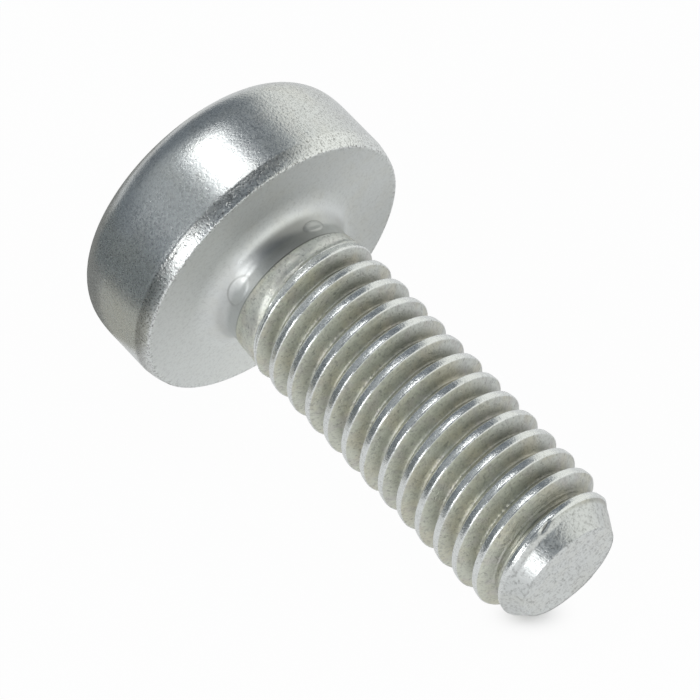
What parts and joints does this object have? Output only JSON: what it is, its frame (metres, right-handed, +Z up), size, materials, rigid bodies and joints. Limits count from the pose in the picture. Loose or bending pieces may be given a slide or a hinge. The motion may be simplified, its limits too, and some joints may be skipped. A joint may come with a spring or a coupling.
{
  "type": "pan head hex socket screw",
  "caption": "Machine screw with a low round head, a hexagon socket in its top, a fillet under the head and a coarse rolled thread down to a chamfered tip.",
  "frame": {"origin": "centre of the screw's bounding box at the surface it lies on", "axes": "+Z up; the shank points along +X and slopes down to the tip by the angle at which the head's rim and the thread rest on the surface; +Y across the screw"},
  "size_m": [0.0214, 0.0114, 0.0118],
  "materials": {
    "zinc_plated_steel": "satin zinc plating over cold formed steel"
  },
  "bodies": {
    "root": {"screw": "zinc_plated_steel"}
  },
  "joints": []
}
